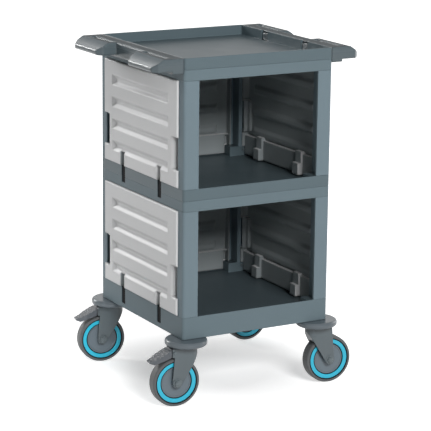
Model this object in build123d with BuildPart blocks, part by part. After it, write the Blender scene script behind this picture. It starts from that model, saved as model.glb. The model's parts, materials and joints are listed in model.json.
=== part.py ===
"""Two-tier serving cart: moulded trays on corner posts, clip-on ribbed panels, side handles, swivel casters.

Millimetres. The origin is on the floor under the middle of the cart, +X to the right, +Y to the back, +Z up.
"""
import os
from math import cos, radians, sin, sqrt

from build123d import *

os.makedirs("parts", exist_ok=True)

# Body
body_width = 430
body_depth = 470
rim_height = 30
ring_height = 28
opening_height = 274
corner_radius = 8
seam_break = 0.8
rim_round = 1.5
tray_wall = 5
tray_floor = 4
recess_radius = 6
ring_wall = 10
corner_pad_width = 57
rib_thickness = 4
rib_depth = 16

# Accessory slots in the side walls of the trays and rings
slot_spacing = 206
slot_width = 21
top_slot_width = 32
slot_sill = 13
slot_sink = 18

# Corner posts
post_width = 42
post_depth = 42
post_leg = 30
post_lip = 8
post_shoulder = 5
spigot_wall = 4
spigot_height = 18
spigot_clearance = 0.2
finger_mouth = 10.5
finger_depth = 19
finger_width = 29
finger_lip = 3.5

# Screws
screw_radius = 2.5
screw_head_radius = 4
screw_head_height = 3
screw_clearance = 0.05
frame_screw_length = 12
handle_screw_length = 24

# Panels
panel_thickness = 5.3
panel_overlap = 13.5
panel_gap = 1
panel_round = 4.5
flange_depth = 20
flange_wall = 3
flange_clearance = 0.5
band_count = 4
band_first = 32
band_top = 37.2
band_height = 28
band_margin = 47.5
band_sink = 7.5
band_slope = 50
notch_bottom = 45
notch_height = 83
notch_depth = 22
notch_roll = 14
pocket_margin = 1
pocket_height = 37
pocket_sink = 20
pocket_wall = 3
hem_offset = 9
hem_height = 32
skirt_drop = 22
hook_sink = 24
hook_lift = 6

# Handles
handle_end_gap = 3
rail_width = 31
rail_drop = 8.7
rail_round = 3
handle_wall = 4
wing_length = 152
wing_reach = 84.6
wing_flat = 55
wing_drop = 19
wing_height = 32
wing_round = 5
wing_corner = 14
grip_width = 13
grip_margin = 17
grip_shift = 8
grip_round = 5
grip_edge = 2.5
boss_length = 16
boss_spacing = 150

# Casters
caster_inset = 20
wheel_radius = 64
wheel_width = 32
tyre_thickness = 9
tyre_round = 5
band_thickness = 12
band_inset = 1.5
band_round = 2
hub_inset = 4
hub_rim = 5
hub_dish_sink = 1.5
hub_dish_slope = 45
hub_boss_radius = 12
bush_wall = 2
axle_radius = 4
axle_head_radius = 8
axle_head_height = 5
running_clearance = 0.05
press_clearance = 0.02
trail = 32
fork_side_gap = 2
fork_leg = 6
fork_head_radius = 30
fork_boss_radius = 13
fork_nose = 5
fork_ear_nose = 13
fork_crease = 10
fork_taper = 3
fork_round = 2
crown_height = 24
crown_lead = 14
wheel_room = 4
stem_radius = 10
collar_radius = 22
collar_height = 1.9
retainer_radius = 14
retainer_height = 4
play = 0.3
bumper_radius = 55
bumper_height = 17
bumper_round = 7
bumper_gap = 0.5
block_size = 62
nut_height = 8
nut_room = 3
nut_flats = 25
caster_yaw = {"front_left": 175, "front_right": -5, "rear_left": 170, "rear_right": 0}

# Brake pedals
pedal_reach = 104
pedal_plate_width = 42
pedal_plate_gap = 3.4
pedal_tip_width = 22
pedal_tip_drop = 31
pedal_thickness = 8
pedal_knee_share = 0.72
pedal_knee_lift = 6
pedal_slope = 0.42
pedal_tip_slope = 0.1
pedal_toe = 11
pedal_pivot_x = 40
pedal_pivot_drop = 11
pedal_hub_radius = 9.5
pedal_pin_radius = 3
pedal_side_gap = 1
pedal_ridge = 1.6
pedal_ridge_count = 5
pedal_room = 1.5
shoe_gap = 10
shoe_share = 0.57

# Heights worked out from the sizes above
half_width = body_width / 2
half_depth = body_depth / 2
band_total = rim_height + ring_height
crown_bottom = 2 * wheel_radius + wheel_room
fork_top = crown_bottom + crown_height
bumper_bottom = fork_top + 2 * play + collar_height
base_bottom = bumper_bottom + bumper_height + bumper_gap
base_top = base_bottom + band_total
mid_ring_bottom = base_top + opening_height
mid_tray_bottom = mid_ring_bottom + ring_height
mid_top = mid_tray_bottom + rim_height
top_ring_bottom = mid_top + opening_height
top_tray_bottom = top_ring_bottom + ring_height
cart_top = top_tray_bottom + rim_height

# Places that several pieces share
inner_width = body_width - 2 * tray_wall
inner_depth = body_depth - 2 * tray_wall
post_x = half_width - post_leg / 2
post_y = half_depth - post_depth / 2
pad_face_y = half_depth - post_depth
spigot_width = post_leg - 2 * post_shoulder
spigot_depth = post_depth - 2 * post_shoulder
socket_width = spigot_width + 2 * spigot_clearance
socket_depth = spigot_depth + 2 * spigot_clearance
spigot_length = spigot_height - spigot_clearance
screw_hole = screw_radius + screw_clearance
pad_hole_length = 2 * (post_shoulder + screw_clearance)
corners = {"front_left": (-1, -1), "front_right": (1, -1), "rear_left": (-1, 1), "rear_right": (1, 1)}
pocket_width = slot_width + 2 * pocket_margin
panel_height = opening_height - panel_gap
band_pitch = (panel_height - band_first - band_top - band_height) / (band_count - 1)
block_height = ring_height - nut_height - nut_room
fork_gap = wheel_width + 2 * fork_side_gap
pedal_width = fork_gap - 2 * pedal_side_gap
stem_x = half_width - caster_inset
stem_y = half_depth - caster_inset
rail_height = rim_height + rail_drop
rail_bottom = cart_top - rail_height
handle_screw_z = top_tray_bottom - screw_head_radius - play
handle_length = body_depth - 2 * handle_end_gap


def keep(builder, label):
    """Names a finished piece and writes it."""
    builder.part.label = label
    export_step(builder.part, f"parts/{label}.step")


def build_tray(label, bottom, skirt, on_posts):
    """A pan with a thin rim. A skirt below the floor makes the base, and corner pads carry posts."""
    floor_bottom = bottom + skirt
    top = floor_bottom + rim_height
    rim_slot = slot_width if on_posts else top_slot_width
    with BuildPart() as tray:
        with BuildSketch(Plane.XY.offset(bottom)):
            RectangleRounded(body_width, body_depth, corner_radius)
        extrude(amount=skirt + rim_height)
        chamfer(tray.faces().sort_by(Axis.Z)[0].outer_wire().edges(), seam_break)
        fillet(tray.faces().sort_by(Axis.Z)[-1].outer_wire().edges(), rim_round)
        with BuildSketch(Plane.XY.offset(floor_bottom + tray_floor)):
            RectangleRounded(inner_width, inner_depth, recess_radius)
            if on_posts:
                with GridLocations(body_width - corner_pad_width, 2 * post_y, 2, 2):
                    Rectangle(corner_pad_width, post_depth, mode=Mode.SUBTRACT)
        extrude(amount=rim_height - tray_floor, mode=Mode.SUBTRACT)
        if on_posts:
            with BuildSketch(Plane.XY.offset(top - spigot_height)):
                with GridLocations(2 * post_x, 2 * post_y, 2, 2):
                    Rectangle(socket_width, socket_depth)
            extrude(amount=spigot_height, mode=Mode.SUBTRACT)
            with GridLocations(2 * post_x, 2 * pad_face_y, 2, 2):
                with Locations((0, 0, top - spigot_height / 2)):
                    Cylinder(screw_hole, pad_hole_length, rotation=(90, 0, 0), mode=Mode.SUBTRACT)
        if skirt:
            with BuildSketch(Plane.XY.offset(bottom)):
                RectangleRounded(inner_width, inner_depth, recess_radius)
            extrude(amount=skirt, mode=Mode.SUBTRACT)
            with BuildSketch(Plane.XY.offset(floor_bottom - rib_depth)):
                Rectangle(rib_thickness, inner_depth)
                with GridLocations(0, slot_spacing, 1, 2):
                    Rectangle(inner_width, rib_thickness)
            extrude(amount=rib_depth)
            with BuildSketch(Plane.XY.offset(bottom)):
                with GridLocations(inner_width - block_size, inner_depth - block_size, 2, 2):
                    Rectangle(block_size, block_size)
                with GridLocations(2 * stem_x, 2 * stem_y, 2, 2):
                    Circle(stem_radius + press_clearance, mode=Mode.SUBTRACT)
            extrude(amount=block_height)
            with BuildSketch(Plane.XY.offset(bottom)):
                with GridLocations(inner_width - slot_sink, slot_spacing, 2, 2):
                    Rectangle(slot_sink, slot_width + 2 * rib_thickness)
            extrude(amount=skirt)
            with BuildSketch(Plane.XY.offset(bottom + slot_sill)):
                with GridLocations(inner_width - slot_sink + rib_thickness, slot_spacing, 2, 2):
                    Rectangle(slot_sink - rib_thickness, slot_width)
            extrude(amount=skirt - slot_sill, mode=Mode.SUBTRACT)
        slot_bottom = bottom + slot_sill if skirt else bottom
        with BuildSketch(Plane.XY.offset(slot_bottom)):
            with GridLocations(body_width - tray_wall, slot_spacing, 2, 2):
                Rectangle(tray_wall, rim_slot)
        extrude(amount=top - slot_bottom, mode=Mode.SUBTRACT)
    keep(tray, label)


def build_ring(label, bottom, handle_holes):
    """The frame under a tray. Its corner blocks take the spigots of the posts below."""
    with BuildPart() as ring:
        with BuildSketch(Plane.XY.offset(bottom)):
            RectangleRounded(body_width, body_depth, corner_radius)
        extrude(amount=ring_height)
        for face in (ring.faces().sort_by(Axis.Z)[0], ring.faces().sort_by(Axis.Z)[-1]):
            chamfer(face.outer_wire().edges(), seam_break)
        with BuildSketch(Plane.XY.offset(bottom)):
            Rectangle(body_width - 2 * ring_wall, body_depth - 2 * ring_wall)
            with GridLocations(body_width - post_width, 2 * post_y, 2, 2):
                Rectangle(post_width, post_depth, mode=Mode.SUBTRACT)
        extrude(amount=ring_height, mode=Mode.SUBTRACT)
        with BuildSketch(Plane.XY.offset(bottom)):
            with GridLocations(2 * post_x, 2 * post_y, 2, 2):
                Rectangle(socket_width, socket_depth)
        extrude(amount=spigot_height, mode=Mode.SUBTRACT)
        with GridLocations(2 * post_x, 2 * pad_face_y, 2, 2):
            with Locations((0, 0, bottom + spigot_height / 2)):
                Cylinder(screw_hole, pad_hole_length, rotation=(90, 0, 0), mode=Mode.SUBTRACT)
        with BuildSketch(Plane.XY.offset(bottom + slot_sill)):
            with GridLocations(body_width - ring_wall, slot_spacing, 2, 2):
                Rectangle(ring_wall, slot_width)
        extrude(amount=ring_height - slot_sill, mode=Mode.SUBTRACT)
        if handle_holes:
            with GridLocations(body_width - ring_wall, boss_spacing, 2, 3):
                with Locations((0, 0, handle_screw_z)):
                    Cylinder(screw_hole, ring_wall, rotation=(0, 90, 0), mode=Mode.SUBTRACT)
    keep(ring, label)


def build_post(label, side, end, bottom):
    """A hollow corner post with a lip along the opening and a spigot at each end."""
    with BuildPart() as post:
        with BuildSketch(Plane.XY.offset(bottom)) as section:
            with Locations((side * post_x, end * post_y)):
                Rectangle(post_leg, post_depth)
            with Locations((side * (half_width - post_width / 2), end * (half_depth - post_lip / 2))):
                Rectangle(post_width, post_lip)
            fillet(section.vertices().sort_by_distance((0, 0, 0))[-1], corner_radius)
        extrude(amount=opening_height)
        with BuildSketch(Plane.XY.offset(bottom - spigot_length)):
            with Locations((side * post_x, end * post_y)):
                Rectangle(spigot_width, spigot_depth)
        extrude(amount=opening_height + 2 * spigot_length)
        with BuildSketch(Plane.XY.offset(bottom - spigot_length)):
            with Locations((side * post_x, end * post_y)):
                Rectangle(spigot_width - 2 * spigot_wall, spigot_depth - 2 * spigot_wall)
        extrude(amount=opening_height + 2 * spigot_length, mode=Mode.SUBTRACT)
        for height in (bottom - spigot_height / 2, bottom + opening_height + spigot_height / 2):
            with Locations((side * post_x, end * (post_y - spigot_depth / 2 + spigot_wall / 2), height)):
                Cylinder(screw_hole, 2 * spigot_wall, rotation=(90, 0, 0), mode=Mode.SUBTRACT)

        # Room for the fingers behind the notch of the side panel
        with BuildSketch(Plane.XY.offset(bottom + notch_bottom)):
            with Locations((side * (half_width - finger_depth / 2), end * (pad_face_y + finger_mouth / 2))):
                Rectangle(finger_depth, finger_mouth)
            with Locations((
                side * (half_width - (finger_depth + finger_lip) / 2),
                end * (pad_face_y + finger_width / 2),
            )):
                Rectangle(finger_depth - finger_lip, finger_width)
        extrude(amount=notch_height, mode=Mode.SUBTRACT)
    keep(post, label)


def build_panel(label, face, span, skirt_span, hooked):
    """A ribbed shell panel. Its face plane lies on the outside of the posts, x along the panel, y up."""
    width = span + 2 * panel_overlap
    height = panel_height
    flange_span = span - 2 * flange_clearance
    notch_x = width / 2 - notch_depth
    outward = Axis(face.origin, face.z_dir)
    pockets = [-slot_spacing / 2, slot_spacing / 2] if hooked else []
    notches = [-1, 1] if hooked else []
    with BuildPart() as panel:
        with BuildSketch(face):
            with Locations((0, height / 2)):
                Rectangle(width, height)
            for side in notches:
                with Locations((side * (width - notch_depth) / 2, notch_bottom + notch_height / 2)):
                    Rectangle(notch_depth, notch_height, mode=Mode.SUBTRACT)
            for place in pockets:
                with Locations((place, pocket_height / 2)):
                    Rectangle(pocket_width, pocket_height, mode=Mode.SUBTRACT)
        extrude(amount=panel_thickness)
        fillet(panel.faces().sort_by(outward)[-1].outer_wire().edges(), panel_round)
        for side in notches:
            with BuildSketch(face):
                with Locations((side * (notch_x - notch_roll / 2), notch_bottom + notch_height / 2)):
                    Rectangle(notch_roll, notch_height)
            extrude(amount=panel_thickness, mode=Mode.SUBTRACT)
            with BuildSketch(Plane(face.from_local_coords((0, notch_bottom, 0)), face.x_dir, face.y_dir)):
                with Locations((side * (notch_x - notch_roll), notch_roll - panel_thickness)):
                    Circle(notch_roll)
                with Locations((side * (notch_x - notch_roll / 2), notch_roll / 2 - panel_thickness)):
                    Rectangle(notch_roll, notch_roll, mode=Mode.INTERSECT)
            extrude(amount=notch_height)

        # The flange goes in between the posts and steps in behind the finger notches
        with BuildSketch(face):
            with Locations((0, height / 2)):
                Rectangle(flange_span, height)
            for side in notches:
                with Locations((side * (notch_x + notch_depth / 2), notch_bottom + notch_height / 2)):
                    Rectangle(notch_depth, notch_height, mode=Mode.SUBTRACT)
            offset(amount=-flange_wall, kind=Kind.INTERSECTION, mode=Mode.SUBTRACT)
            with Locations((0, flange_wall / 2)):
                Rectangle(flange_span - 2 * flange_wall, flange_wall, mode=Mode.SUBTRACT)
        extrude(amount=-flange_depth)

        # The hem is a shelf with a skirt that drops inside the rim of the tray below
        with BuildSketch(face):
            with Locations((0, hem_height - flange_wall / 2)):
                Rectangle(flange_span, flange_wall)
        extrude(amount=-hem_offset - flange_wall)
        with BuildSketch(face.offset(-hem_offset)):
            with Locations((0, (hem_height - skirt_drop) / 2)):
                Rectangle(skirt_span, hem_height + skirt_drop)
        extrude(amount=-flange_wall)
        for place in pockets:
            with BuildSketch(face):
                with Locations((place, (pocket_height + pocket_wall) / 2)):
                    Rectangle(pocket_width + 2 * pocket_wall, pocket_height + pocket_wall)
            extrude(amount=panel_thickness - pocket_sink - pocket_wall)
            with BuildSketch(face.offset(-hem_offset)):
                with Locations((place, (hook_lift + pocket_wall - skirt_drop) / 2)):
                    Rectangle(pocket_width + 2 * pocket_wall, hook_lift + pocket_wall + skirt_drop)
            extrude(amount=hem_offset - hook_sink - pocket_wall)

        # Swaged bands, raised inside and sunk outside
        with BuildSketch(face):
            for index in range(band_count):
                with Locations((0, band_first + band_height / 2 + index * band_pitch)):
                    Rectangle(width - 2 * band_margin, band_height)
        extrude(amount=-band_sink, taper=band_slope)
        with BuildSketch(face.offset(panel_thickness)):
            for index in range(band_count):
                with Locations((0, band_first + band_height / 2 + index * band_pitch)):
                    Rectangle(width - 2 * band_margin, band_height)
        extrude(amount=-band_sink, taper=band_slope, mode=Mode.SUBTRACT)

        # Pockets open to the outside, and below them the hooks are open towards the rim
        for place in pockets:
            with BuildSketch(face):
                with Locations((place, pocket_height / 2)):
                    Rectangle(pocket_width, pocket_height)
            extrude(amount=panel_thickness - pocket_sink, mode=Mode.SUBTRACT)
            with BuildSketch(face):
                with Locations((place, (hook_lift - skirt_drop) / 2)):
                    Rectangle(pocket_width, hook_lift + skirt_drop)
            extrude(amount=-hook_sink, mode=Mode.SUBTRACT)
    keep(panel, label)


def build_handle(label, side):
    """A hollow rail along the tray with a slotted wing at each end."""
    outward = (side, 0, 0)
    along = (0, -side, 0)
    wing_middle = (handle_length - wing_length) / 2
    boss_hole_depth = handle_screw_length - ring_wall
    with BuildPart() as handle:
        with BuildSketch(Plane((side * half_width, 0, cart_top), outward, along)) as rail:
            with Locations((rail_width / 2, -rail_height / 2)):
                Rectangle(rail_width, rail_height)
            fillet(rail.vertices().group_by(Axis.X)[-1], rail_round)
        extrude(amount=handle_length / 2, both=True)
        for end in (-1, 1):
            with BuildSketch(Plane((side * half_width, end * wing_middle, cart_top), outward, along)) as wing:
                with BuildLine():
                    Polyline(
                        (rail_width / 2, 0),
                        (wing_flat, 0),
                        (wing_reach, -wing_drop),
                        (wing_reach, -wing_height),
                        (rail_width / 2, -wing_height),
                        close=True,
                    )
                make_face()
                fillet(wing.vertices().group_by(Axis.X)[1:], wing_round)
            extrude(amount=wing_length / 2, both=True)
        with BuildSketch(Plane((side * half_width, 0, rail_bottom), outward)):
            for end in (-1, 1):
                for turn in (-1, 1):
                    corner_y = end * wing_middle + turn * wing_length / 2
                    with BuildLine():
                        Polyline(
                            (wing_reach, corner_y),
                            (wing_reach, corner_y - turn * wing_corner),
                            (wing_reach - wing_corner, corner_y),
                            close=True,
                        )
                    make_face()
        extrude(amount=rail_height * 2, both=True, mode=Mode.SUBTRACT)
        with BuildSketch(Plane((side * half_width, 0, rail_bottom), outward)):
            for end in (-1, 1):
                with Locations((rail_width + grip_width / 2, end * (wing_middle - grip_shift))):
                    RectangleRounded(grip_width, wing_length - 2 * grip_margin, grip_round)
        extrude(amount=rail_height, mode=Mode.SUBTRACT)
        fillet(handle.faces().sort_by(Axis.Z)[-1].inner_wires().edges(), grip_edge)
        with BuildSketch(Plane((side * half_width, 0, rail_bottom), outward)):
            with Locations((rail_width / 2, 0)):
                Rectangle(rail_width - 2 * handle_wall, handle_length - 2 * handle_wall)
                with GridLocations(0, boss_spacing, 1, 3):
                    Rectangle(rail_width, boss_length, mode=Mode.SUBTRACT)
        extrude(amount=rail_height - handle_wall, mode=Mode.SUBTRACT)
        with BuildSketch(Plane((side * half_width, 0, top_tray_bottom), outward)):
            with GridLocations(0, slot_spacing, 1, 2):
                with Locations((handle_wall / 2, 0)):
                    Rectangle(handle_wall, top_slot_width)
        extrude(amount=rim_height - handle_wall, mode=Mode.SUBTRACT)
        with GridLocations(0, boss_spacing, 1, 3):
            with Locations((side * (half_width + boss_hole_depth / 2), 0, handle_screw_z)):
                Cylinder(screw_hole, boss_hole_depth, rotation=(0, 90, 0), mode=Mode.SUBTRACT)
    keep(handle, label)


def build_frame_screws():
    """The screws that hold the spigots of the posts in the pads and the ring blocks."""
    heights = [level - spigot_height / 2 for level in (base_top, mid_top)]
    heights += [level + spigot_height / 2 for level in (mid_ring_bottom, top_ring_bottom)]
    with BuildPart() as screws:
        for height in heights:
            for end in (-1, 1):
                face = Plane((0, end * pad_face_y, height), (1, 0, 0), (0, end, 0))
                with BuildSketch(face):
                    with GridLocations(2 * post_x, 0, 2, 1):
                        Circle(screw_radius)
                extrude(amount=frame_screw_length)
                with BuildSketch(face):
                    with GridLocations(2 * post_x, 0, 2, 1):
                        Circle(screw_head_radius)
                extrude(amount=-screw_head_height)
    keep(screws, "frame_screws")


def build_handle_screws():
    """The screws through the top ring into the handle bosses."""
    with BuildPart() as screws:
        for side in (-1, 1):
            face = Plane((side * (half_width - ring_wall), 0, handle_screw_z), (0, 1, 0), (side, 0, 0))
            with BuildSketch(face):
                with GridLocations(boss_spacing, 0, 3, 1):
                    Circle(screw_radius)
            extrude(amount=handle_screw_length)
            with BuildSketch(face):
                with GridLocations(boss_spacing, 0, 3, 1):
                    Circle(screw_head_radius)
            extrude(amount=-screw_head_height)
    keep(screws, "handle_screws")


def build_caster_nuts():
    """The nuts that hold the caster stems in the base."""
    with BuildPart() as nuts:
        with BuildSketch(Plane.XY.offset(base_bottom + block_height)):
            with GridLocations(2 * stem_x, 2 * stem_y, 2, 2):
                RegularPolygon(nut_flats / 2, 6, major_radius=False)
                Circle(stem_radius + press_clearance, mode=Mode.SUBTRACT)
        extrude(amount=nut_height)
    keep(nuts, "caster_nuts")


def build_caster(name, side, end, yaw, braked):
    """One swivel caster. Its wheel trails the stem in the direction of yaw."""
    forward = (cos(radians(yaw)), sin(radians(yaw)), 0)
    axle_way = (sin(radians(yaw)), -cos(radians(yaw)), 0)
    stem_foot = (side * stem_x, end * stem_y, 0)
    plan = Plane(stem_foot, forward)
    profile = Plane(stem_foot, forward, axle_way)
    wheel = Plane(profile.from_local_coords((trail, wheel_radius, 0)), forward, axle_way)
    leg_outside = fork_gap / 2 + fork_leg
    head_x = leg_outside - fork_head_radius
    fork_end = trail + fork_boss_radius
    ear_nose = fork_ear_nose if braked else fork_nose
    hub_radius = wheel_radius - tyre_thickness - band_thickness
    bush_radius = axle_radius + running_clearance + bush_wall
    hub_length = fork_gap - 2 * bumper_gap
    pivot_height = fork_top - pedal_pivot_drop

    with BuildPart() as stem:
        with BuildSketch(plan.offset(crown_bottom + play)):
            Circle(retainer_radius)
        extrude(amount=retainer_height)
        with BuildSketch(plan.offset(crown_bottom + play)):
            Circle(stem_radius)
        extrude(amount=base_bottom + block_height + nut_height - crown_bottom - play)
        with BuildSketch(plan.offset(fork_top + play)):
            Circle(collar_radius)
        extrude(amount=collar_height)
    keep(stem, f"{name}_stem")

    with BuildPart() as bumper:
        with BuildSketch(plan.offset(bumper_bottom)):
            Circle(bumper_radius)
        extrude(amount=bumper_height)
        fillet(bumper.edges(), bumper_round)
        with BuildSketch(plan.offset(bumper_bottom)):
            Circle(stem_radius + running_clearance)
        extrude(amount=bumper_height, mode=Mode.SUBTRACT)
    keep(bumper, f"{name}_bumper")

    with BuildPart() as fork:
        with BuildSketch(plan.offset(wheel_radius - fork_boss_radius)):
            with Locations((head_x, 0)):
                Circle(leg_outside)
            with BuildLine():
                Polyline(
                    (head_x, -leg_outside),
                    (fork_crease, -leg_outside),
                    (fork_end, fork_taper - leg_outside),
                    (fork_end, leg_outside - fork_taper),
                    (fork_crease, leg_outside),
                    (head_x, leg_outside),
                    close=True,
                )
            make_face()
        extrude(amount=fork_top - wheel_radius + fork_boss_radius)
        fillet(fork.faces().sort_by(Axis.Z)[-1].outer_wire().edges(), fork_round)
        with BuildSketch(profile):
            with BuildLine():
                Polyline(
                    (-fork_head_radius, fork_top),
                    (-fork_head_radius, fork_top - crown_lead),
                    (trail + fork_nose, crown_bottom),
                    (trail + fork_nose, fork_top),
                    close=True,
                )
                CenterArc((trail, wheel_radius), fork_boss_radius, 0, 360)
            make_hull()
            with Locations(((trail + ear_nose) / 2, fork_top - crown_height / 2)):
                Rectangle(trail + ear_nose, crown_height)
        extrude(amount=fork_head_radius, both=True, mode=Mode.INTERSECT)
        with BuildSketch(wheel):
            Circle(fork_boss_radius)
        extrude(amount=leg_outside, both=True)
        with BuildSketch(wheel):
            Circle(wheel_radius + wheel_room)
        extrude(amount=fork_gap / 2, both=True, mode=Mode.SUBTRACT)
        with BuildSketch(wheel):
            Circle(axle_radius + press_clearance)
        extrude(amount=leg_outside, both=True, mode=Mode.SUBTRACT)
        with BuildSketch(plan.offset(wheel_radius)):
            Circle(retainer_radius + play)
        extrude(amount=crown_bottom - wheel_radius + retainer_height + 2 * play, mode=Mode.SUBTRACT)
        with BuildSketch(plan.offset(crown_bottom)):
            Circle(stem_radius + running_clearance)
        extrude(amount=crown_height, mode=Mode.SUBTRACT)
        if braked:
            with BuildSketch(profile):
                with Locations((pedal_pivot_x, pivot_height)):
                    Circle(pedal_hub_radius + pedal_room)
                with Locations((pedal_pivot_x + fork_head_radius / 2, (wheel_radius + fork_top) / 2)):
                    Rectangle(fork_head_radius, fork_top - wheel_radius)
            extrude(amount=fork_gap / 2, both=True, mode=Mode.SUBTRACT)
            with BuildSketch(profile):
                with Locations((pedal_pivot_x, pivot_height)):
                    Circle(pedal_pin_radius + press_clearance)
            extrude(amount=leg_outside, both=True, mode=Mode.SUBTRACT)
    keep(fork, f"{name}_fork")

    with BuildPart() as axle:
        with BuildSketch(wheel):
            Circle(axle_radius)
        extrude(amount=leg_outside + axle_head_height, both=True)
        with BuildSketch(wheel.offset(leg_outside)):
            Circle(axle_head_radius)
        extrude(amount=axle_head_height)
        fillet(axle.edges().sort_by(Axis(wheel.origin, wheel.z_dir))[-1], axle_head_height / 3)
        with BuildSketch(wheel.offset(-leg_outside)):
            RegularPolygon(axle_head_radius, 6, major_radius=False)
        extrude(amount=-axle_head_height)
    keep(axle, f"{name}_axle")

    with BuildPart() as hub:
        with BuildSketch(wheel):
            Circle(hub_radius)
        extrude(amount=wheel_width / 2 - hub_inset, both=True)
        for way in (1, -1):
            with BuildSketch(wheel.offset(way * (wheel_width / 2 - hub_inset))):
                Circle(hub_radius - hub_rim)
            extrude(amount=-way * hub_dish_sink, taper=hub_dish_slope, mode=Mode.SUBTRACT)
        with BuildSketch(wheel):
            Circle(hub_boss_radius)
        extrude(amount=hub_length / 2, both=True)
        with BuildSketch(wheel):
            Circle(bush_radius + press_clearance)
        extrude(amount=hub_length / 2, both=True, mode=Mode.SUBTRACT)
    keep(hub, f"{name}_hub")

    with BuildPart() as bush:
        with BuildSketch(wheel):
            Circle(bush_radius)
            Circle(axle_radius + running_clearance, mode=Mode.SUBTRACT)
        extrude(amount=hub_length / 2, both=True)
    keep(bush, f"{name}_bush")

    with BuildPart() as band:
        with BuildSketch(wheel):
            Circle(hub_radius + band_thickness)
            Circle(hub_radius + press_clearance, mode=Mode.SUBTRACT)
        extrude(amount=wheel_width / 2 - band_inset, both=True)
        fillet(band.edges(), band_round)
    keep(band, f"{name}_band")

    with BuildPart() as tyre:
        with BuildSketch(wheel):
            Circle(wheel_radius)
        extrude(amount=wheel_width / 2, both=True)
        fillet(tyre.edges(), tyre_round)
        with BuildSketch(wheel):
            Circle(wheel_radius - tyre_thickness + press_clearance)
        extrude(amount=wheel_width / 2, both=True, mode=Mode.SUBTRACT)
    keep(tyre, f"{name}_tyre")

    if braked:
        build_pedal(name, profile, pivot_height)


def build_pedal(name, profile, pivot_height):
    """A ridged brake lever on a pin between the ears of the fork, its tip turned up."""
    tip = (pedal_reach, fork_top - pedal_tip_drop)
    root = (pedal_pivot_x, pivot_height + pedal_hub_radius)
    knee = (pedal_pivot_x + pedal_knee_share * (pedal_reach - pedal_pivot_x), tip[1] + pedal_knee_lift)
    shoe_x = pedal_pivot_x + shoe_share * (pedal_reach - pedal_pivot_x)
    shoe_z = wheel_radius + sqrt((wheel_radius + shoe_gap) ** 2 - (shoe_x - trail) ** 2)
    plate_start = trail + fork_ear_nose + pedal_plate_gap
    with BuildPart() as pedal:
        with BuildSketch(profile) as lever:
            with BuildLine():
                top = Spline(root, knee, tip, tangents=[(1, -pedal_slope), (1, -pedal_tip_slope)])
                Polyline(
                    tip,
                    (pedal_reach, tip[1] - pedal_thickness / 2),
                    (pedal_reach - pedal_toe, tip[1] - pedal_thickness),
                    (shoe_x, shoe_z),
                    (pedal_pivot_x, pivot_height - pedal_hub_radius),
                    root,
                )
            make_face()
            with Locations((pedal_pivot_x, pivot_height)):
                Circle(pedal_hub_radius)
        extrude(amount=pedal_width / 2, both=True)
        with BuildSketch(profile):
            add(lever.sketch_local)
            with Locations(((plate_start + pedal_reach) / 2, pivot_height)):
                Rectangle(pedal_reach - plate_start, pedal_reach, mode=Mode.INTERSECT)
        extrude(amount=pedal_plate_width / 2, both=True)
        with BuildSketch(profile):
            for index in range(pedal_ridge_count):
                with Locations(top @ ((index + 2) / (pedal_ridge_count + 2))):
                    Circle(pedal_ridge)
        extrude(amount=pedal_plate_width / 2, both=True)
        with BuildSketch(Plane(profile.origin, profile.x_dir)):
            with BuildLine():
                Polyline(
                    (0, -pedal_plate_width / 2),
                    (shoe_x, -pedal_plate_width / 2),
                    (pedal_reach, -pedal_tip_width / 2),
                    (pedal_reach, pedal_tip_width / 2),
                    (shoe_x, pedal_plate_width / 2),
                    (0, pedal_plate_width / 2),
                    close=True,
                )
            make_face()
        extrude(amount=fork_top, mode=Mode.INTERSECT)
        with BuildSketch(profile):
            with Locations((pedal_pivot_x, pivot_height)):
                Circle(pedal_pin_radius + running_clearance)
        extrude(amount=pedal_width / 2, both=True, mode=Mode.SUBTRACT)
    keep(pedal, f"{name}_pedal")

    with BuildPart() as pin:
        with BuildSketch(profile):
            with Locations((pedal_pivot_x, pivot_height)):
                Circle(pedal_pin_radius)
        extrude(amount=fork_gap / 2 + fork_leg, both=True)
    keep(pin, f"{name}_pedal_pin")


build_tray("top_tray", top_tray_bottom, 0, on_posts=False)
build_ring("top_ring", top_ring_bottom, handle_holes=True)
build_tray("mid_tray", mid_tray_bottom, 0, on_posts=True)
build_ring("mid_ring", mid_ring_bottom, handle_holes=False)
build_tray("base_tray", base_bottom, ring_height, on_posts=True)

for tier, tier_bottom in (("upper", mid_top), ("lower", base_top)):
    for corner_name, (corner_side, corner_end) in corners.items():
        build_post(f"{tier}_{corner_name}_post", corner_side, corner_end, tier_bottom)
    side_span = body_depth - 2 * post_depth
    side_skirt = side_span - 2 * (screw_head_height + flange_clearance)
    for panel_name, panel_side in (("left", -1), ("right", 1)):
        side_face = Plane((panel_side * half_width, 0, tier_bottom), (0, panel_side, 0), (panel_side, 0, 0))
        build_panel(f"{tier}_{panel_name}_panel", side_face, side_span, side_skirt, hooked=True)
    back_span = body_width - 2 * post_width
    back_skirt = body_width - 2 * corner_pad_width - 2 * flange_clearance
    back_face = Plane((0, half_depth, tier_bottom), (-1, 0, 0), (0, 1, 0))
    build_panel(f"{tier}_back_panel", back_face, back_span, back_skirt, hooked=False)

build_handle("left_handle", -1)
build_handle("right_handle", 1)
build_frame_screws()
build_handle_screws()
build_caster_nuts()
for corner_name, (corner_side, corner_end) in corners.items():
    build_caster(corner_name, corner_side, corner_end, caster_yaw[corner_name], braked=corner_side < 0)
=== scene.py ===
# %% [markdown]
# # A two-tier serving cart
# A serving cart carries meals or linen along corridors: three trays on corner posts, ribbed panels
# clipped to three sides, a handle along each side and four swivel casters. Its solid shapes come from a
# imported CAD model. They could be modelled again here, but two models of one cart drift apart. So the CAD
# model is loaded as a fixed frame in metres, and the cells below give each piece its finish, add the
# small trim that the solids leave out, and then set the floor, the light and the camera.

# %% Load the frame
import json
from math import cos, pi, radians, sin

import bmesh
import bpy
from mathutils import Matrix, Vector


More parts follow.
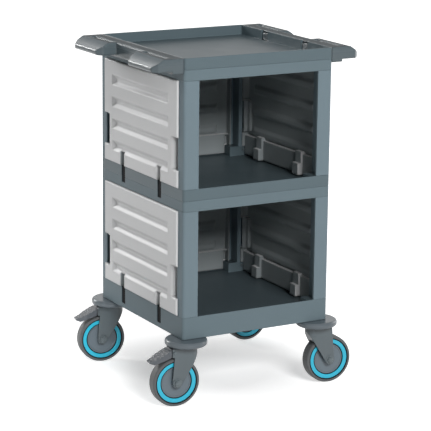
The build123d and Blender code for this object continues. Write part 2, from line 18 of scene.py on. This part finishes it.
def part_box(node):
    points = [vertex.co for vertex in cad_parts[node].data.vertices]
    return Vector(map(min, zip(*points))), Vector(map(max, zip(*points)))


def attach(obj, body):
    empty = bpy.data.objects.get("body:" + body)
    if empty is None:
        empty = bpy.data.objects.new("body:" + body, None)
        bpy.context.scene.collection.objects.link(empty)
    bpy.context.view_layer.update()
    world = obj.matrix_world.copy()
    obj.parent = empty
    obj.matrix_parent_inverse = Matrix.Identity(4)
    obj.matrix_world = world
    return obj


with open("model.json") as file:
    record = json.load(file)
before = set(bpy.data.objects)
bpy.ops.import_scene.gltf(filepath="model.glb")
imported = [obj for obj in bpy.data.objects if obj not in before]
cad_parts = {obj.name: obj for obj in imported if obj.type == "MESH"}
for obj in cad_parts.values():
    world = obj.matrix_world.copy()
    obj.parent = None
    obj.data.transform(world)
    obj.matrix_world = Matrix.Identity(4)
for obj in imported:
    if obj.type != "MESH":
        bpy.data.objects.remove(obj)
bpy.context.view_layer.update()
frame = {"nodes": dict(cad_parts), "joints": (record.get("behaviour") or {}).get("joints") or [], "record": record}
nodes = frame["nodes"]

# %% [markdown]
# ## Finishes written as sums
# A procedural finish is a graph of nodes that works out colour, roughness and small bumps from the place
# on the piece, so it needs no picture and no unwrapping. It could be wired by hand in the Shader Editor,
# but such a graph gets long and hard to read. Here a small class wraps the output of a node, so that it
# can stand in an ordinary sum, and each sign of the sum adds one Math node. All patterns start from
# Object coordinates, so they stay on a piece when it moves.

# %% Outputs that take part in sums
class Signal:
    """The output of a node, as a value in a sum."""

    def __init__(self, graph, output):
        self.graph = graph
        self.output = output

    def maths(self, operation, first, second):
        return self.graph.node("ShaderNodeMath", {"operation": operation}, {0: first, 1: second})

    def __add__(self, other):
        return self.maths("ADD", self, other)

    def __sub__(self, other):
        return self.maths("SUBTRACT", self, other)

    def __rsub__(self, other):
        return self.maths("SUBTRACT", other, self)

    def __mul__(self, other):
        return self.maths("MULTIPLY", self, other)

    def __truediv__(self, other):
        return self.maths("DIVIDE", self, other)

    def __rtruediv__(self, other):
        return self.maths("DIVIDE", other, self)

    __radd__ = __add__
    __rmul__ = __mul__


print("sums add Math nodes")

# %% [markdown]
# ## One graph for each finish
# A material owns a graph of nodes, and so does the world. The class below empties such a graph and fills
# it again. Its method `node` is the only place where nodes are made. It sets a node's options first,
# because they decide which sockets the node shows, and then gives each socket a number, a colour or a
# link. The other methods are short names for the nodes that come up again and again.

# %% A graph of nodes
class Graph:
    """The nodes of one material or of the world."""

    def __init__(self, owner):
        self.owner = owner
        owner.use_nodes = True
        self.tree = owner.node_tree
        self.tree.nodes.clear()

    def node(self, kind, settings=None, inputs=None, out=0):
        made = self.tree.nodes.new(kind)
        for name, value in (settings or {}).items():
            setattr(made, name, value)
        for name, value in (inputs or {}).items():
            if isinstance(value, Signal):
                self.tree.links.new(value.output, made.inputs[name])
            else:
                made.inputs[name].default_value = value
        return Signal(self, made.outputs[out]) if made.outputs else None

    def noise(self, place, scale, detail):
        inputs = {"Vector": place, "Scale": scale, "Detail": detail}
        return self.node("ShaderNodeTexNoise", {"noise_dimensions": "3D"}, inputs, "Fac")

    def blend(self, mask, first, second):
        inputs = {"Factor": mask, "A": first, "B": second}
        return self.node("ShaderNodeMix", {"data_type": "RGBA"}, inputs, "Result")

    def clamp(self, value):
        return self.node("ShaderNodeClamp", None, {"Value": value, "Min": 0.0, "Max": 1.0})

    def dot(self, first, second):
        settings = {"operation": "DOT_PRODUCT"}
        return self.node("ShaderNodeVectorMath", settings, {0: first, 1: second}, "Value")

    def height(self, vector):
        return self.node("ShaderNodeSeparateXYZ", None, {0: vector}, "Z")

    def bumps(self, relief, depth, strength, normal):
        inputs = {"Strength": strength, "Distance": depth, "Height": relief, "Normal": normal}
        return self.node("ShaderNodeBump", None, inputs)

    def surface(self, **inputs):
        named = {name.replace("_", " "): value for name, value in inputs.items()}
        shader = self.node("ShaderNodeBsdfPrincipled", None, named)
        self.node("ShaderNodeOutputMaterial", None, {"Surface": shader})
        return self.owner


print("graphs can be filled")

# %% [markdown]
# ## Moulded plastic
# Most of the cart is injection moulded. A flat colour would look like painted card: in a real moulding
# the pigment flows in faint clouds, the tool leaves a fine grain, and every edge is a little rounded, so
# that it catches the light. The edges are also painted paler, partly as wear and partly as a painted
# highlight. The edges could be bevelled in the mesh, but the CAD nodes stay as they are. So the Bevel
# node rounds only the shading, and the angle between its normal and the true one tells where the edges
# are.
#
# There are three options. Faces that look up can be darker than the walls, which paints shade on them.
# Faces that look to the middle of the cart can have a colour of their own, which paints the shade within
# the cart. And flat faces can get duller between two heights, as where hands rub the polish off a handle
# but leave its edges bright.

# %% A recipe for moulded plastic
cloud_scale, speckle_scale = 9.0, 420.0
flow_share = 0.8
rough_swing = 0.05
edge_paleness = 1.9


def tint(colour, factor):
    return (*[min(1.0, c * factor) for c in colour], 1.0)


def moulded(
    name, colour, roughness, edge_round, gloss=0.5, clouds=0.05, grain_scale=1500.0, grain_depth=0.00004,
    edge_wear_and_highlight=0.25, floor=1.0, inner_shade=None, hand_wear=None
):
    """Plastic with rounded edges that are paler by edge_wear_and_highlight, partly as wear and partly as a painted
    highlight.

    floor darkens faces that look up, as painted shade; inside is a colour that paints shade on faces that
    look to the middle; and hand_wear gives the two heights between which flat faces get duller, and by how much.
    """
    graph = Graph(bpy.data.materials.new(name))
    place = graph.node("ShaderNodeTexCoord", out="Object")
    true_normal = graph.node("ShaderNodeNewGeometry", out="Normal")
    rounded = graph.node("ShaderNodeBevel", {"samples": 6}, {"Radius": edge_round})
    bend = 1 - graph.dot(rounded, true_normal)
    flow = graph.noise(place, cloud_scale, 4.0)
    speckle = graph.noise(place, speckle_scale, 1.0)
    mottled = graph.clamp(flow * flow_share + speckle * (1 - flow_share))
    skin = graph.blend(mottled, tint(colour, 1 - clouds), tint(colour, 1 + clouds))
    rough = roughness - rough_swing + flow * (2 * rough_swing)
    # Painted shade: faces within 18 degrees of level are darkened by the factor floor.
    if floor < 1:
        level = graph.clamp(graph.height(true_normal) * 20 - 19)  # within 18 degrees of level
        skin = graph.blend(level, skin, tint(colour, floor))
    # Painted shade: faces that look to the middle of the cart take the colour inside.
    if inner_shade:
        sideways = {0: place, 1: (1, 1, 0)}
        from_middle = graph.node("ShaderNodeVectorMath", {"operation": "MULTIPLY"}, sideways, "Vector")
        inward_shade = graph.clamp(graph.dot(from_middle, true_normal) * -40)  # full from 25 mm off the middle
        skin = graph.blend(inward_shade, skin, tint(inner_shade, 1.0))
    if hand_wear:
        low, high, dulled = hand_wear
        flat = 1 - graph.clamp(bend * 20)  # none from 18 degrees of bend on
        rough = rough + graph.clamp((graph.height(place) - low) / (high - low)) * flat * dulled
    # Paler edges: partly wear, partly a painted highlight.
    edge = graph.clamp(bend * 6 - 0.6)  # from 26 degrees of bend, and full at 43
    worn_and_highlit = graph.blend(edge * edge_wear_and_highlight, skin, tint(colour, edge_paleness))
    bump = graph.bumps(graph.noise(place, grain_scale, 2.0), grain_depth, 0.5, rounded)
    return graph.surface(Base_Color=worn_and_highlit, Roughness=rough, Normal=bump, Specular_IOR_Level=gloss)


print("moulded plastic can be mixed")

# %% [markdown]
# ## Slate trays, frame and handles
# The trays, the frame and the handles are slate grey with a satin skin. The base and the rings under the
# trays get a copy of the tray slate that is a little lighter, as painted light. One finish could dress the
# rest, but mouldings from different tools never match quite: the posts are lighter still, and the handles
# are the darkest and the smoothest, with edges rounded to suit a hand. The floors of the trays and the tops
# of the handles are darker than the walls, as painted shade, and the slate edges are painted paler, partly
# as wear and partly as a highlight.

# %% Slate finishes
# floor darkens the faces that look up as painted shade, and edge_wear_and_highlight paints the edges paler, partly
# as wear and partly as a highlight.
tray_slate = moulded(
    "tray_slate", (0.098, 0.133, 0.149), 0.38, 0.0025, gloss=0.18, edge_wear_and_highlight=0.4, floor=0.60
)
# lit_base_slate is a lighter copy of the tray slate, as painted light.
lit_base_slate = moulded(
    "lit_base_slate", (0.126, 0.168, 0.188), 0.42, 0.0025, gloss=0.12, edge_wear_and_highlight=0.4, floor=0.46
)
frame_slate = moulded("frame_slate", (0.150, 0.198, 0.224), 0.44, 0.0020, gloss=0.12, edge_wear_and_highlight=0.4)
handle_slate = moulded(
    "handle_slate", (0.080, 0.103, 0.114), 0.19, 0.0075, gloss=0.27, edge_wear_and_highlight=0.1, floor=0.4,
    hand_wear=(0.881, 0.899, 0.46)
)
print("mixed", tray_slate.name, lit_base_slate.name, frame_slate.name, handle_slate.name)

# %% [markdown]
# ## Light grey panels
# The ribbed panels are light grey with soft edges. Their faces towards the shelves are darker, which paints
# the shade within the cart. Two materials on one mesh would need its faces sorted. One material that sees
# which way a face looks does the same and leaves the mesh alone.

# %% Panel finish
# The dark colour inside is painted shade on the faces towards the shelves.
panel_grey = moulded(
    "panel_grey", (0.62, 0.625, 0.63), 0.36, 0.0060, gloss=0.26, clouds=0.025, edge_wear_and_highlight=0.12,
    inner_shade=(0.270, 0.298, 0.306)
)
print("mixed", panel_grey.name)

# %% [markdown]
# ## Caster parts
# Forks, pedals and hubs are moulded nylon, and each wheel has a cyan ring between hub and tyre. A shoe
# has to grip the pedals, so their grain is coarse and deep. The coated heads of the bolts and pins have
# the same satin look, so the recipe serves for them too.

# %% Caster finishes
fork_grey = moulded("fork_grey", (0.086, 0.107, 0.117), 0.30, 0.0030)
pedal_grey = moulded(
    "pedal_grey", (0.070, 0.080, 0.092), 0.24, 0.0012, grain_scale=260.0, grain_depth=0.0020
)
hub_grey = moulded("hub_grey", (0.115, 0.144, 0.166), 0.38, 0.0010)
cap_grey = moulded("cap_grey", (0.105, 0.130, 0.140), 0.30, 0.0010)
band_blue = moulded("band_blue", (0.022, 0.430, 0.600), 0.24, 0.0014, clouds=0.03, edge_wear_and_highlight=0.2)
print("mixed", fork_grey.name, pedal_grey.name, hub_grey.name, cap_grey.name, band_blue.name)

# %% [markdown]
# ## Rubber
# Bumper discs and tyres are rubber, with a film of dust that comes and goes and a coarser grain than
# plastic has. The moulded recipe could be stretched to this, but rubber doesn't wear pale at its edges,
# so a shorter recipe is easier to read. A third finish, nearly black, is painted shade deep in the slots
# and a painted shadow round each hub, and it also colours the dark lip between ring and tyre.

# %% Rubber finishes
dust_scale, dust_swing = 26.0, 0.06
rubber_edge = 0.0012
rubber_grain_scale, rubber_grain_depth = 900.0, 0.00007


def rubber(name, colour, roughness, gloss=0.5):
    graph = Graph(bpy.data.materials.new(name))
    place = graph.node("ShaderNodeTexCoord", out="Object")
    dust = graph.noise(place, dust_scale, 5.0)
    rounded = graph.node("ShaderNodeBevel", {"samples": 4}, {"Radius": rubber_edge})
    skin = graph.blend(dust, tint(colour, 0.9), tint(colour, 1.12))
    rough = roughness - dust_swing + dust * (2 * dust_swing)
    bump = graph.bumps(graph.noise(place, rubber_grain_scale, 3.0), rubber_grain_depth, 0.6, rounded)
    return graph.surface(Base_Color=skin, Roughness=rough, Normal=bump, Specular_IOR_Level=gloss)


bumper_slate = rubber("bumper_slate", (0.085, 0.105, 0.120), 0.22)
tyre_grey = rubber("tyre_grey", (0.085, 0.090, 0.093), 0.58)
# Nearly black: painted shade in the slots and a painted shadow round the hubs, and the tyres' dark lips.
shade_and_seam_black = rubber("shade_and_seam_black", (0.012, 0.013, 0.014), 0.6, gloss=0.06)
print("mixed", bumper_slate.name, tyre_grey.name, shade_and_seam_black.name)

# %% [markdown]
# ## Plated steel
# The stems, nuts and bushes of the casters are turned steel with a thin coat of zinc. The tool of a lathe
# leaves fine rings. They could be modelled, but they are far too fine for a mesh. So a noise is squeezed
# along the height, which turns its blots into thin level lines, and these change only the roughness.

# %% Steel finish
line_squeeze = (60.0, 60.0, 2200.0)
tarnish_scale = 90.0


def plated(name, colour):
    graph = Graph(bpy.data.materials.new(name))
    place = graph.node("ShaderNodeTexCoord", out="Object")
    squeezed = graph.node("ShaderNodeMapping", None, {"Vector": place, "Scale": line_squeeze})
    lines = graph.noise(squeezed, 1.0, 2.0)
    tarnish = graph.noise(place, tarnish_scale, 4.0)
    skin = graph.blend(tarnish, tint(colour, 0.8), tint(colour, 1.1))
    rough = 0.24 + lines * 0.12 + tarnish * 0.08
    return graph.surface(Base_Color=skin, Metallic=1.0, Roughness=rough)


steel = plated("steel", (0.56, 0.57, 0.58))
print("mixed", steel.name)

# %% [markdown]
# ## Dressing the CAD nodes
# The record of the CAD model names a finish for every node. Each node could be dressed by hand, but a
# loop over the record can't forget one. Only the base tray and the two rings then change over to the
# lighter slate, whose extra lightness is painted light.

# %% Dress every node
finishes = {
    "tray_slate": tray_slate,
    "frame_slate": frame_slate,
    "panel_grey": panel_grey,
    "handle_slate": handle_slate,
    "bumper_slate": bumper_slate,
    "fork_grey": fork_grey,
    "pedal_grey": pedal_grey,
    "hub_grey": hub_grey,
    "band_blue": band_blue,
    "tyre_grey": tyre_grey,
    "cap_grey": cap_grey,
    "steel": steel,
}
for part in frame["record"]["subparts"]:
    mesh = nodes[part["node"]].data
    mesh.materials.clear()
    mesh.materials.append(finishes[part["material_slot"]])
# The lighter slate of these three is painted light.
for name in ("base_tray", "top_ring", "mid_ring"):
    nodes[name].data.materials[0] = lit_base_slate

# %% [markdown]
# ## A shade plate for a slot
# Panels and accessories hook into slots in the side walls of the trays. A dark plate closes each slot a
# little way in, as painted shade where the slot is deep in shadow, so that no daylight shows through. A
# plain box would do, but the plate gets a rim. So a cube is scaled to the slot, its outer face is inset
# and pushed in, which leaves a thin frame, and a small bevel breaks the edges.

# %% Slot shade plate
rim_width, rim_depth, rim_bevel = 0.0012, 0.0010, 0.0002


def add_piece(name, mesh, finish, body):
    piece = bpy.data.objects.new(name, bpy.data.meshes.new(name))
    mesh.to_mesh(piece.data)
    mesh.free()
    piece.data.materials.append(finish)
    bpy.context.scene.collection.objects.link(piece)
    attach(piece, body)
    return piece


# A plate that paints the shade deep in a slot.
def slot_shade_plate(name, low, high, finish):
    """A plate between two corners whose face away from the middle of the cart is sunk."""
    mesh = bmesh.new()
    bmesh.ops.create_cube(mesh, size=1.0)
    bmesh.ops.scale(mesh, vec=[b - a for a, b in zip(low, high)], verts=mesh.verts)
    bmesh.ops.translate(mesh, vec=[(a + b) / 2 for a, b in zip(low, high)], verts=mesh.verts)
    side = 1 if low[0] > 0 else -1
    outer = [face for face in mesh.faces if face.normal.x * side > 0.9]
    bmesh.ops.inset_region(mesh, faces=outer, thickness=rim_width)
    bmesh.ops.translate(mesh, vec=(-side * rim_depth, 0, 0), verts=outer[0].verts)
    bmesh.ops.bevel(
        mesh, geom=mesh.edges[:], offset=rim_bevel, affect="EDGES", segments=2, profile=0.5, material=-1
    )
    return add_piece(name, mesh, finish, "cart")


print("liners can be made")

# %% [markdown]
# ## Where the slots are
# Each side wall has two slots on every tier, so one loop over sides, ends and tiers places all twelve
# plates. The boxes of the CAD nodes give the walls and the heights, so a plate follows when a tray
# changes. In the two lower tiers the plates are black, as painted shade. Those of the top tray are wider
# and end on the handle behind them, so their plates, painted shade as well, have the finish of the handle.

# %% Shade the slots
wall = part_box("mid_tray")[1].x
slot_y = 0.103
sill = 0.013
slot_half, slot_depths = 0.0104, (0.0012, 0.0040)
top_slot_half, top_slot_depths = 0.0158, (0.0005, 0.0030)
sill_gap, rim_gap = 0.0001, 0.0004
top_sill, top_rim = 0.0045, 0.0060


def shade_plate_corners(side, end, half, depths, heights):
    across = sorted(side * (wall - depth) for depth in depths)
    along = (end * slot_y - half, end * slot_y + half)
    return zip(across, along, heights)


for side, side_name in ((-1, "left"), (1, "right")):
    for end, end_name in ((-1, "front"), (1, "rear")):
        place_name = f"{side_name}_{end_name}_slot_liner"
        for tier, foot, head in (("mid", "mid_ring", "mid_tray"), ("base", "base_tray", "base_tray")):
            heights = (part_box(foot)[0].z + sill + sill_gap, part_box(head)[1].z - rim_gap)
            low, high = shade_plate_corners(side, end, slot_half, slot_depths, heights)
            slot_shade_plate(f"{tier}_{place_name}", low, high, shade_and_seam_black)
        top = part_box("top_tray")
        heights = (top[0].z + top_sill, top[1].z - top_rim)
        low, high = shade_plate_corners(side, end, top_slot_half, top_slot_depths, heights)
        slot_shade_plate(f"top_{place_name}", low, high, handle_slate)
print("lined the slots, in walls", round(wall, 4), "m from the middle")

# %% [markdown]
# ## Turned pieces
# The trim of a wheel is round: seams, lips, washers and caps. Rings could be cut from cylinders and
# cones, but a turner would draw half of the section and spin it, and so does this function. It takes a
# few points as pairs of radius and height along the axis, spins them once round, merges the points that
# meet on the axis, and then turns and moves the piece onto its axle.

# %% Spin a section
spin_steps = 72
merge_distance = 0.000001


def turned(name, section, centre, axis, finish, body, closed):
    """The section spun round the axis: a ring if it is closed, or else from the axis to the axis."""
    mesh = bmesh.new()
    points = [mesh.verts.new((radius, 0, height)) for radius, height in section]
    pairs = list(zip(points, points[1:])) + ([(points[-1], points[0])] if closed else [])
    edges = [mesh.edges.new(pair) for pair in pairs]
    bmesh.ops.spin(
        mesh, geom=points + edges, cent=(0, 0, 0), axis=(0, 0, 1), angle=2 * pi, steps=spin_steps,
        use_merge=True
    )
    bmesh.ops.remove_doubles(mesh, verts=mesh.verts, dist=merge_distance)
    bmesh.ops.recalc_face_normals(mesh, faces=mesh.faces)
    turn = Vector((0, 0, 1)).rotation_difference(Vector(axis)).to_matrix()
    bmesh.ops.rotate(mesh, cent=(0, 0, 0), matrix=turn, verts=mesh.verts)
    bmesh.ops.translate(mesh, vec=centre, verts=mesh.verts)
    return add_piece(name, mesh, finish, body)


print("sections can be spun")

# %% [markdown]
# ## Sections of the wheel trim
# A dark ring paints the shadow where the hub meets the coloured ring, and a dark lip of rubber covers the
# joint between ring and tyre. A washer lies round the head of the axle, and a low domed cap sits on it.
# Each is a millimetre or so deep, so four to nine points are enough. Every section starts from the face
# that it lies on: hub, ring, fork leg or head.

# %% Draw the sections
hub_radius, hub_face = 0.043, 0.012
press_gap = 0.0001
# A painted shadow: a dark ring at the edge of the hub.
shadow_ring_height, shadow_ring_foot, shadow_ring_top = 0.0008, 0.0024, 0.0016
hub_shadow_ring = [
    (hub_radius - shadow_ring_foot, hub_face),
    (hub_radius - press_gap, hub_face),
    (hub_radius - press_gap, hub_face + shadow_ring_height),
    (hub_radius - shadow_ring_top, hub_face + shadow_ring_height),
]

tyre_bore, tyre_face = 0.0550, 0.0160
lip_radius, lip_thickness, lip_crest = 0.0565, 0.0002, 0.0003
ring_edge = [(0.0535, 0.014437), (0.0540, 0.014232), (0.0545, 0.013823), (0.0549, 0.013124)]
lip_foot = (0.0534, 0.0147)
ring_seam = ring_edge + [
    (tyre_bore, tyre_face),
    (lip_radius, tyre_face),
    (lip_radius, tyre_face + lip_thickness),
    (tyre_bore, tyre_face + lip_crest),
    lip_foot,
]

head_radius, head_height, leg_face = 0.008, 0.005, 0.024
washer_radius, washer_height, washer_chamfer = 0.0115, 0.0011, 0.0005
washer = [
    (head_radius + press_gap, leg_face),
    (washer_radius, leg_face),
    (washer_radius, leg_face + washer_height - washer_chamfer),
    (washer_radius - washer_chamfer, leg_face + washer_height),
    (head_radius + press_gap, leg_face + washer_height),
]

cap_radius, cap_rise, cap_steps = 0.0058, 0.0012, 6
head_face = leg_face + head_height
angles = [step * pi / (2 * cap_steps) for step in range(cap_steps)]
axle_cap = [(0.0, head_face)]
axle_cap += [(cap_radius * cos(angle), head_face + cap_rise * sin(angle)) for angle in angles]
axle_cap += [(0.0, head_face + cap_rise)]
print("drew sections of", len(hub_shadow_ring), len(ring_seam), len(washer), len(axle_cap), "points")

# %% [markdown]
# ## Trim on every wheel
# The joints of the frame say where each axle is and which way it points, so nothing is measured twice.
# The painted shadow ring and the lip turn with the wheel. Washer and cap sit on the axle, which swivels
# with the fork but doesn't spin.

# %% Trim the wheels
corners = ("front_left", "front_right", "rear_left", "rear_right")
wheel_trim = (
    ("hub_shadow_ring", hub_shadow_ring, shade_and_seam_black, "wheel", "tyre_grey", True),
    ("ring_seam", ring_seam, shade_and_seam_black, "wheel", "tyre_grey", True),
    ("washer", washer, cap_grey, "swivel", "cap_grey", True),
    ("axle_cap", axle_cap, cap_grey, "swivel", "cap_grey", False),
)
axles = {joint["name"]: joint for joint in frame["joints"]}
for corner in corners:
    axle = axles[corner + "_wheel_spin"]
    for sign, side_name in ((-1, "near"), (1, "far")):
        way = [sign * part for part in axle["axis"]]
        for trim_name, section, finish, carrier, slot, closed in wheel_trim:
            name = f"{corner}_{side_name}_{trim_name}"
            turned(name, section, axle["pos_m"], way, finish, f"{corner}_{carrier}", closed)
print("turned", 2 * len(corners) * len(wheel_trim), "pieces of wheel trim")

# %% [markdown]
# ## White floor and world
# A cart in a catalogue stands on a white sweep. Enough light would turn any floor white, but it would
# bleach the cart too. So floor and world show white only to rays that come from the camera, from a
# reflection or through something clear. All other rays meet pale paint and a dim world. The floor glows
# less close to the cart, so that its real shadow stays under it, and the weaker glow also paints shade
# round the cart.

# %% Floor and world
white = (1, 1, 1, 1)
floor_paint = (0.80, 0.80, 0.80, 1)
floor_half = 8.0
# Weaker glow near the cart: partly it lets the shadow show, partly it paints shade there.
glow_under, glow_beside, glow_beyond = 0.36, 0.46, 0.3
world_level = 0.09


def shown(graph):
    """1 for rays from the camera, from a reflection or through something clear, and 0 for others."""
    kinds = ("Is Camera Ray", "Is Glossy Ray", "Is Transmission Ray")
    camera_ray, glossy_ray, clear_ray = [graph.node("ShaderNodeLightPath", out=kind) for kind in kinds]
    return graph.clamp(camera_ray + glossy_ray + clear_ray)


def white_floor():
    graph = Graph(bpy.data.materials.new("white_floor"))
    place = graph.node("ShaderNodeTexCoord", out="Object")
    distance = graph.node("ShaderNodeVectorMath", {"operation": "LENGTH"}, {0: place}, "Value")
    beside = graph.clamp((distance - 0.15) / 0.3)  # full 0.45 m from the middle of the cart
    beyond = graph.clamp((distance - 0.8) / 1.6)  # full 2.4 m from it
    strength = shown(graph) * (beyond * glow_beyond + beside * glow_beside + glow_under)
    paint = graph.node("ShaderNodeBsdfDiffuse", None, {"Color": floor_paint})
    glow = graph.node("ShaderNodeEmission", None, {"Color": white, "Strength": strength})
    both = graph.node("ShaderNodeAddShader", None, {0: paint, 1: glow})
    graph.node("ShaderNodeOutputMaterial", None, {"Surface": both})
    return graph.owner


def white_world(level):
    graph = Graph(bpy.data.worlds.new("studio"))
    strength = level + shown(graph) * (1 - level)
    background = graph.node("ShaderNodeBackground", None, {"Color": white, "Strength": strength})
    graph.node("ShaderNodeOutputWorld", None, {"Surface": background})
    bpy.context.scene.world = graph.owner


floor_mesh = bmesh.new()
bmesh.ops.create_grid(floor_mesh, x_segments=1, y_segments=1, size=floor_half)
floor = bpy.data.objects.new("floor", bpy.data.meshes.new("floor"))
floor_mesh.to_mesh(floor.data)
floor_mesh.free()
floor.data.materials.append(white_floor())
bpy.context.scene.collection.objects.link(floor)
white_world(world_level)
bpy.context.scene.view_settings.view_transform = "Standard"
print("floor is", 2 * floor_half, "m wide, world level", world_level)

# %% [markdown]
# ## Softboxes
# A studio lights a cart with large soft lamps, which area lamps stand in for. A sun or a spot would be
# simpler, but its shadows are hard. The main lamp is far off, high and a little to the left of the front,
# so that it lights the fronts and reaches into both openings. The lamps at the back gleam on the top tray
# and the handles, the one on the right lifts the far side, and weak ones from the left and above keep the
# shadows open. A narrow beam close to the floor reaches the rear left wheel. The main lamp and this beam
# are hidden from reflections, because from behind they would show as white patches on the trays.

# %% Lights
def softbox(name, place, target, size, power, mirrored=True, spread=180):
    lamp = bpy.data.lights.new(name, "AREA")
    lamp.shape = "RECTANGLE"
    lamp.size, lamp.size_y = size
    lamp.energy = power
    lamp.spread = radians(spread)
    holder = bpy.data.objects.new(name, lamp)
    holder.location = place
    holder.visible_glossy = mirrored
    holder.rotation_euler = (Vector(target) - Vector(place)).to_track_quat("-Z", "Y").to_euler()
    bpy.context.scene.collection.objects.link(holder)


softbox("left_softbox", (-3.2, -0.2, 1.4), (0, 0, 0.5), (2.4, 1.6), 3.5)
softbox("right_softbox", (3.2, 0.2, 1.2), (0, 0, 0.5), (2.4, 1.6), 22)
softbox("front_softbox", (-0.75, -8.0, 5.0), (0, 0, 0.3), (3.4, 2.6), 740, mirrored=False)
softbox("top_softbox", (-1.0, -1.4, 3.6), (0, 0, 0.6), (1.2, 1.2), 8)
softbox("rear_softbox", (-1.75, 3.4, 2.0), (0, 0, 0.75), (1.1, 0.8), 58)
softbox("rear_top_softbox", (-0.25, 3.4, 2.95), (0, 0, 0.85), (0.8, 0.8), 6)
softbox(
    "low_softbox", (-1.9, -0.3, 0.16), (-0.26, 0.26, 0.07), (0.2, 0.12), 0.16, mirrored=False, spread=20
)
print("set", len(bpy.data.lights), "lights")

# %% [markdown]
# ## Camera
# The photograph was taken from the left of the front, a little above the cart, from far off with a long
# lens. The camera could be placed by eye, but then no edge would lie quite right. So its angles, its
# place and its focal length were fitted to the edges of the body in the photograph. The focal length was
# measured in pixels, and the width of the photograph turns it into millimetres.

# %% Camera
azimuth, elevation, roll = radians(-29.0999), radians(13.3369), radians(0.587)
camera_place = (-2.5180, -4.5367, 1.6598)
focal_pixels, photo_pixels, sensor_width = 2005.58, 431, 36
backward = Vector((sin(azimuth) * cos(elevation), -cos(azimuth) * cos(elevation), sin(elevation)))
level_right = Vector((cos(azimuth), sin(azimuth), 0))
level_up = backward.cross(level_right)
right = level_right * cos(roll) + level_up * sin(roll)
up = level_up * cos(roll) - level_right * sin(roll)
lens = bpy.data.cameras.new("camera")
lens.sensor_width = sensor_width
lens.lens = focal_pixels / photo_pixels * sensor_width
camera = bpy.data.objects.new("camera", lens)
turn = Matrix((right, up, backward)).transposed()
camera.matrix_world = Matrix.Translation(camera_place) @ turn.to_4x4()
bpy.context.scene.collection.objects.link(camera)
bpy.context.scene.camera = camera
print("camera lens", round(lens.lens, 1), "mm")
